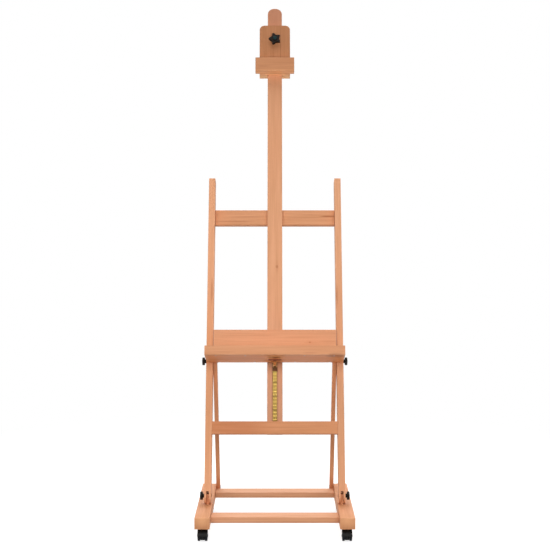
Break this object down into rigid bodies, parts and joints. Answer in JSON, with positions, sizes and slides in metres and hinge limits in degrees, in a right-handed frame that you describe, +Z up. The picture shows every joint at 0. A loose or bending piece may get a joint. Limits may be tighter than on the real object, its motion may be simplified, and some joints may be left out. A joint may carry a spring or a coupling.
{
  "type": "studio easel",
  "caption": "Tall studio easel of wood on casters: leaning frame with a sliding ratchet tray, a screw clamp for the top of the canvas, and rear struts that set the lean.",
  "frame": {"origin": "on the floor, at the middle of the whole object seen from above", "axes": "+Z up; the front, where the painter stands, faces -Y; +X is to the viewer's right"},
  "size_m": [0.6012, 0.8944, 2.1165],
  "materials": {
    "beech": "oiled steamed beech, salmon-orange, fine straight grain",
    "brass": "brass, lightly tarnished",
    "bronzed_steel": "pressed steel with a bronze-brown finish",
    "zinc_steel": "zinc-plated steel",
    "black_plastic": "black moulded plastic, satin",
    "caster_plastic": "charcoal moulded nylon",
    "wheel_plastic": "black moulded nylon"
  },
  "bodies": {
    "base": {"front_base_rail": "beech", "rear_base_rail": "beech", "left_foot": "beech", "left_pivot_tongue": "beech", "left_strut_foot_bolt": "zinc_steel", "right_foot": "beech", "right_pivot_tongue": "beech", "right_strut_foot_bolt": "zinc_steel", "front_left_caster_stem": "zinc_steel", "front_right_caster_stem": "zinc_steel", "rear_left_caster_stem": "zinc_steel", "rear_right_caster_stem": "zinc_steel"},
    "frame": {"upper_cross_rail": "beech", "lower_cross_rail": "beech", "mast": "beech", "ratchet_rack": "brass", "left_upright": "beech", "left_pivot_bolt": "bronzed_steel", "right_upright": "beech", "right_pivot_bolt": "bronzed_steel"},
    "tray": {"tray_bottom": "beech", "tray_front_lip": "beech", "canvas_ledge": "beech", "slider_back_plate": "beech", "pawl_bracket": "bronzed_steel", "pawl_pin": "zinc_steel", "left_tray_end": "beech", "left_slider_cheek": "beech", "right_tray_end": "beech", "right_slider_cheek": "beech"},
    "pawl": {"ratchet_pawl": "bronzed_steel"},
    "clamp": {"clamp_front_plate": "beech", "clamp_insert": "brass", "clamp_head_block": "beech", "clamp_back_plate": "beech", "left_clamp_cheek": "beech", "right_clamp_cheek": "beech"},
    "pressure_pad": {"clamp_pressure_pad": "brass"},
    "clamp_screw": {"clamp_knob": "black_plastic", "clamp_screw": "zinc_steel"},
    "left_strut": {"left_strut": "beech", "left_strut_bolt": "bronzed_steel"},
    "left_strut_knob": {"left_strut_knob": "black_plastic"},
    "left_pivot_knob": {"left_pivot_knob": "black_plastic"},
    "front_left_caster": {"front_left_caster_hood": "caster_plastic"},
    "front_left_wheels": {"front_left_caster_wheels": "wheel_plastic"},
    "rear_left_caster": {"rear_left_caster_hood": "caster_plastic"},
    "rear_left_wheels": {"rear_left_caster_wheels": "wheel_plastic"},
    "right_strut": {"right_strut": "beech", "right_strut_bolt": "bronzed_steel"},
    "right_strut_knob": {"right_strut_knob": "black_plastic"},
    "right_pivot_knob": {"right_pivot_knob": "black_plastic"},
    "front_right_caster": {"front_right_caster_hood": "caster_plastic"},
    "front_right_wheels": {"front_right_caster_wheels": "wheel_plastic"},
    "rear_right_caster": {"rear_right_caster_hood": "caster_plastic"},
    "rear_right_wheels": {"rear_right_caster_wheels": "wheel_plastic"}
  },
  "joints": [
    {"name": "frame_tilt", "type": "hinge", "parent": "base", "child": "frame", "pos_m": [0, -0.23817, 0.13], "axis": [1, 0, 0], "range_deg": [0, 12]},
    {"name": "left_strut_turn", "type": "hinge", "parent": "base", "child": "left_strut", "pos_m": [-0.24, 0.06963, 0.0878], "axis": [1, 0, 0], "range_deg": [0, 12.83]},
    {"name": "right_strut_turn", "type": "hinge", "parent": "base", "child": "right_strut", "pos_m": [0.24, 0.06963, 0.0878], "axis": [1, 0, 0], "range_deg": [0, 12.83]},
    {"name": "tray_slide", "type": "slide", "parent": "frame", "child": "tray", "axis": [0, 0.3223, 0.9466], "range_m": [-0.182, 0.154]},
    {"name": "pawl_release", "type": "hinge", "parent": "tray", "child": "pawl", "pos_m": [0, -0.07719, 0.65408], "axis": [1, 0, 0], "range_deg": [-3.2, 0]},
    {"name": "clamp_slide", "type": "slide", "parent": "frame", "child": "clamp", "axis": [0, 0.3223, 0.9466], "range_m": [-0.58, 0.08]},
    {"name": "pad_travel", "type": "slide", "parent": "clamp", "child": "pressure_pad", "axis": [0, -0.9466, 0.3223], "range_m": [0, 0.0025]},
    {"name": "clamp_screw_turn", "type": "hinge", "parent": "pressure_pad", "child": "clamp_screw", "pos_m": [0, 0.3576, 1.97314], "axis": [0, -0.9466, 0.3223], "range_deg": [0, 720]},
    {"name": "left_pivot_knob_turn", "type": "hinge", "parent": "frame", "child": "left_pivot_knob", "pos_m": [-0.283, -0.23817, 0.13], "axis": [-1, 0, 0], "range_deg": [0, 720]},
    {"name": "left_strut_knob_turn", "type": "hinge", "parent": "left_strut", "child": "left_strut_knob", "pos_m": [-0.283, -0.06643, 0.63447], "axis": [-1, 0, 0], "range_deg": [0, 720]},
    {"name": "right_pivot_knob_turn", "type": "hinge", "parent": "frame", "child": "right_pivot_knob", "pos_m": [0.283, -0.23817, 0.13], "axis": [1, 0, 0], "range_deg": [0, 720]},
    {"name": "right_strut_knob_turn", "type": "hinge", "parent": "right_strut", "child": "right_strut_knob", "pos_m": [0.283, -0.06643, 0.63447], "axis": [1, 0, 0], "range_deg": [0, 720]},
    {"name": "front_left_swivel", "type": "hinge", "parent": "base", "child": "front_left_caster", "pos_m": [-0.2723, -0.38617, 0.05], "axis": [0, 0, 1], "continuous": true},
    {"name": "front_left_wheel_spin", "type": "hinge", "parent": "front_left_caster", "child": "front_left_wheels", "pos_m": [-0.2723, -0.40417, 0.02], "axis": [1, 0, 0], "continuous": true},
    {"name": "front_right_swivel", "type": "hinge", "parent": "base", "child": "front_right_caster", "pos_m": [0.2723, -0.38617, 0.05], "axis": [0, 0, 1], "continuous": true},
    {"name": "front_right_wheel_spin", "type": "hinge", "parent": "front_right_caster", "child": "front_right_wheels", "pos_m": [0.2723, -0.40417, 0.02], "axis": [1, 0, 0], "continuous": true},
    {"name": "rear_left_swivel", "type": "hinge", "parent": "base", "child": "rear_left_caster", "pos_m": [-0.2723, 0.02283, 0.05], "axis": [0, 0, 1], "continuous": true},
    {"name": "rear_left_wheel_spin", "type": "hinge", "parent": "rear_left_caster", "child": "rear_left_wheels", "pos_m": [-0.2723, 0.04083, 0.02], "axis": [1, 0, 0], "continuous": true},
    {"name": "rear_right_swivel", "type": "hinge", "parent": "base", "child": "rear_right_caster", "pos_m": [0.2723, 0.02283, 0.05], "axis": [0, 0, 1], "continuous": true},
    {"name": "rear_right_wheel_spin", "type": "hinge", "parent": "rear_right_caster", "child": "rear_right_wheels", "pos_m": [0.2723, 0.04083, 0.02], "axis": [1, 0, 0], "continuous": true}
  ],
  "couplings": [
    {"joint": "left_strut_turn", "follows": "frame_tilt", "ratio": 1.069},
    {"joint": "right_strut_turn", "follows": "frame_tilt", "ratio": 1.069},
    {"joint": "clamp_screw_turn", "follows": "pad_travel", "rad_per_m": 5026.5}
  ]
}
